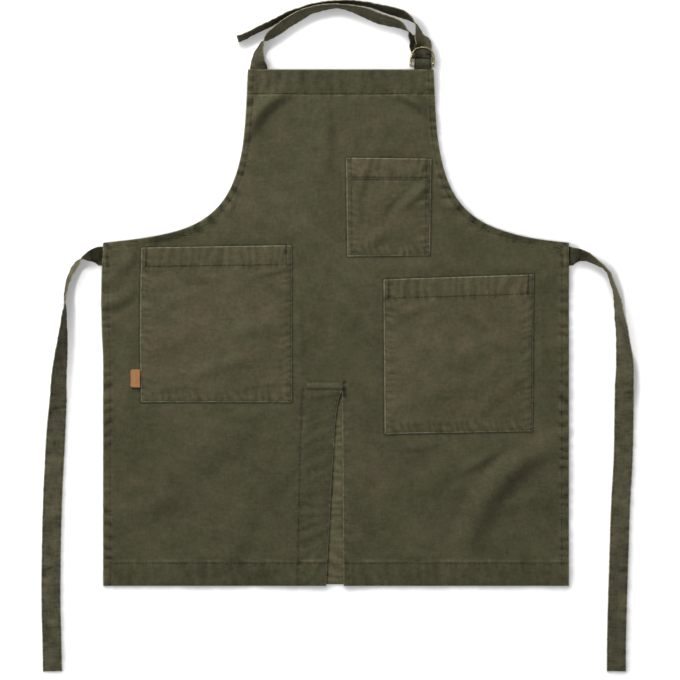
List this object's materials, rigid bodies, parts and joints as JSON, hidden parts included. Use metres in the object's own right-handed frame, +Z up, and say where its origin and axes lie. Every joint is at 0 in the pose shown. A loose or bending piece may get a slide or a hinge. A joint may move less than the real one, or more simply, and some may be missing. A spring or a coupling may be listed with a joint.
{
  "type": "gardening apron",
  "caption": "Bib apron of washed canvas, laid flat, with a vented skirt, patch pockets, a chest pocket, waist ties and a neck strap that closes with metal rings.",
  "frame": {"origin": "middle of the lying apron's outline, on the surface that it lies on", "axes": "+X across the apron to the viewer's right, +Y from the skirt to the neck strap, +Z up out of the apron's face"},
  "size_m": [0.948, 1.0724, 0.031],
  "materials": {
    "body_canvas": "washed olive canvas, matt",
    "pocket_canvas": "washed olive canvas, matt, a little more faded",
    "tape_canvas": "doubled canvas tape with topstitched edges",
    "tab_leather": "smooth tan leather, bare",
    "ring_brass": "antique brass wire, satin"
  },
  "bodies": {
    "root": {"body_panel": "body_canvas", "vent_underlap": "body_canvas", "pocket_left": "pocket_canvas", "pocket_right": "pocket_canvas", "pocket_chest": "pocket_canvas", "label_tab": "tab_leather", "neck_strap": "tape_canvas", "ring_loop": "tape_canvas", "d_ring_upper": "ring_brass", "d_ring_lower": "ring_brass", "tie_left": "tape_canvas", "tie_right": "tape_canvas"}
  },
  "joints": []
}
